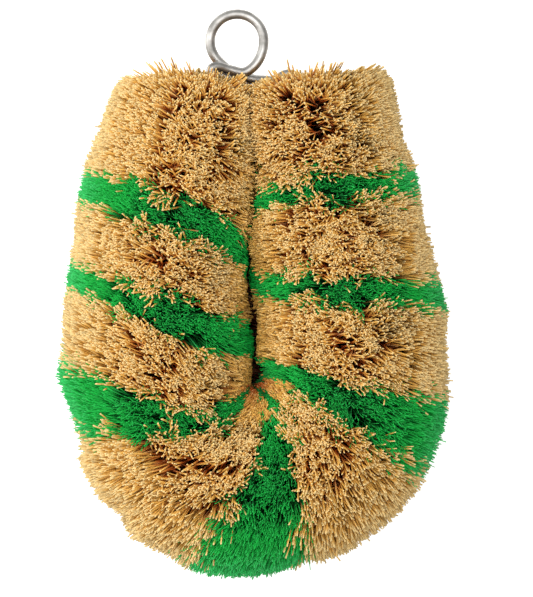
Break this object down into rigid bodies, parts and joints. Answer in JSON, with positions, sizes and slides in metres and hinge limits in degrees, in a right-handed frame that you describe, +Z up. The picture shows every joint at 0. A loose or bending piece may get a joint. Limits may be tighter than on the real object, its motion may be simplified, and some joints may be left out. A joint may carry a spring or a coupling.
{
  "type": "tawashi brush",
  "caption": "Oval tawashi scrubbing brush of natural and green-dyed plant fibre bundles twisted in a galvanised wire core, with a wire hanging ring",
  "frame": {"origin": "On the plane the brush lies on, under the middle of its outline seen from above", "axes": "X runs across the brush, +Y along it from the round bend towards the hanging ring, +Z up from the surface it lies on"},
  "size_m": [0.084, 0.1256, 0.0474],
  "materials": {
    "galvanised_wire": "satin",
    "natural_fibre": "matte",
    "green_fibre": "matte"
  },
  "bodies": {
    "root": {"core_wire": "galvanised_wire", "hanging_ring": "galvanised_wire", "natural_bundle_1": "natural_fibre", "natural_bundle_2": "natural_fibre", "natural_bundle_3": "natural_fibre", "natural_bundle_4": "natural_fibre", "natural_bundle_5": "natural_fibre", "natural_bundle_6": "natural_fibre", "natural_bundle_7": "natural_fibre", "natural_bundle_8": "natural_fibre", "green_bundle_1": "green_fibre", "green_bundle_2": "green_fibre", "green_bundle_3": "green_fibre", "green_bundle_4": "green_fibre", "green_bundle_5": "green_fibre", "green_bundle_6": "green_fibre", "green_bundle_7": "green_fibre"}
  },
  "joints": []
}
